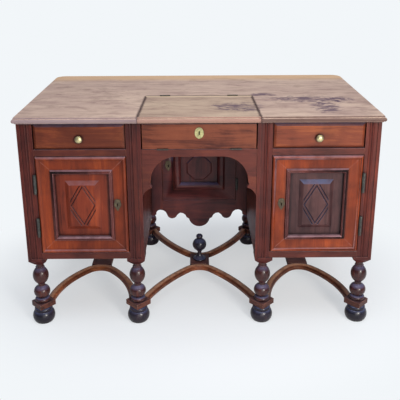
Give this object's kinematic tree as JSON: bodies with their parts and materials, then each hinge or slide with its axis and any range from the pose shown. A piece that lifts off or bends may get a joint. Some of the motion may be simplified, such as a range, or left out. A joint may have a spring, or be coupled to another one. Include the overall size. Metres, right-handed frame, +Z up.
{
  "type": "bureau mazarin",
  "caption": "Kneehole writing desk on turned uprights with bun feet and curved X stretchers, panelled pedestal doors, drawers, a hinged top flap over a writing well with a fall front",
  "frame": {"origin": "on the floor under the middle of the top", "axes": "+X to the right as the sitter faces the desk, +Y to the back, +Z up"},
  "size_m": [1.266, 0.752, 0.8041],
  "materials": {
    "walnut_case": "waxed red-brown walnut, rubbed bright on the edges",
    "walnut_top": "bleached, stained and dry walnut",
    "walnut_dark": "nearly black polished walnut, brown on the worn ridges",
    "secondary_wood": "bare secondary wood",
    "brass": "dull greenish brass",
    "iron": "old grey wrought iron"
  },
  "bodies": {
    "carcase": {"top_boards": "walnut_top", "flap_hinge_fixed_leaves": "iron", "front_left_outer_upright": "walnut_case", "front_left_inner_upright": "walnut_case", "front_right_inner_upright": "walnut_case", "front_right_outer_upright": "walnut_case", "rear_left_outer_upright": "walnut_case", "rear_left_inner_upright": "walnut_case", "rear_right_inner_upright": "walnut_case", "rear_right_outer_upright": "walnut_case", "front_bun_feet": "walnut_dark", "rear_bun_feet": "walnut_dark", "left_stretcher": "walnut_dark", "centre_stretcher": "walnut_dark", "right_stretcher": "walnut_dark", "stretcher_finial": "walnut_dark", "outer_side_panels": "walnut_case", "side_rails": "walnut_case", "inner_side_boards": "walnut_case", "back_boards": "secondary_wood", "pedestal_floors": "secondary_wood", "front_rails": "walnut_case", "drawer_runners": "secondary_wood", "arched_apron": "walnut_case", "well_floor": "secondary_wood", "well_back": "secondary_wood", "recess_frame": "walnut_case", "recess_floor": "secondary_wood", "scalloped_apron": "walnut_case", "fall_hinge_fixed_leaves": "iron", "door_hinge_pintles": "iron"},
    "writing_flap_leaf": {"writing_flap": "walnut_top", "flap_hinge_moving_leaves": "iron"},
    "fall": {"fall_front": "walnut_case", "fall_escutcheon": "brass", "fall_lock": "iron", "fall_hinge_moving_leaves": "iron"},
    "left_drawer": {"left_drawer_front": "walnut_case", "left_drawer_box": "secondary_wood", "left_drawer_knob": "brass"},
    "right_drawer": {"right_drawer_front": "walnut_case", "right_drawer_box": "secondary_wood", "right_drawer_knob": "brass"},
    "left_door": {"left_door_frame": "walnut_case", "left_door_panel": "walnut_case", "left_door_escutcheon": "brass", "left_door_lock": "iron", "left_door_hinges": "iron", "left_door_moulding": "walnut_case"},
    "right_door": {"right_door_frame": "walnut_case", "right_door_panel": "walnut_case", "right_door_escutcheon": "brass", "right_door_lock": "iron", "right_door_hinges": "iron", "right_door_moulding": "walnut_case"},
    "centre_door": {"centre_door_frame": "walnut_case", "centre_door_panel": "walnut_case", "centre_door_escutcheon": "brass", "centre_door_lock": "iron", "centre_door_hinges": "iron"}
  },
  "joints": [
    {"name": "flap_hinge", "type": "hinge", "parent": "carcase", "child": "writing_flap_leaf", "pos_m": [0, -0.047, 0.8022], "axis": [-1, 0, 0], "range_deg": [0, 180]},
    {"name": "fall_hinge", "type": "hinge", "parent": "carcase", "child": "fall", "pos_m": [0, -0.3604, 0.683], "axis": [1, 0, 0], "range_deg": [0, 180]},
    {"name": "left_drawer_slide", "type": "slide", "parent": "carcase", "child": "left_drawer", "axis": [0, -1, 0], "range_m": [0, 0.34]},
    {"name": "right_drawer_slide", "type": "slide", "parent": "carcase", "child": "right_drawer", "axis": [0, -1, 0], "range_m": [0, 0.34]},
    {"name": "left_door_hinge", "type": "hinge", "parent": "carcase", "child": "left_door", "pos_m": [-0.5736, -0.3639, 0.475], "axis": [0, 0, -1], "range_deg": [0, 170]},
    {"name": "right_door_hinge", "type": "hinge", "parent": "carcase", "child": "right_door", "pos_m": [0.5736, -0.3639, 0.475], "axis": [0, 0, 1], "range_deg": [0, 170]},
    {"name": "centre_door_hinge", "type": "hinge", "parent": "carcase", "child": "centre_door", "pos_m": [0.1576, 0.0461, 0.47], "axis": [0, 0, 1], "range_deg": [0, 95]}
  ]
}
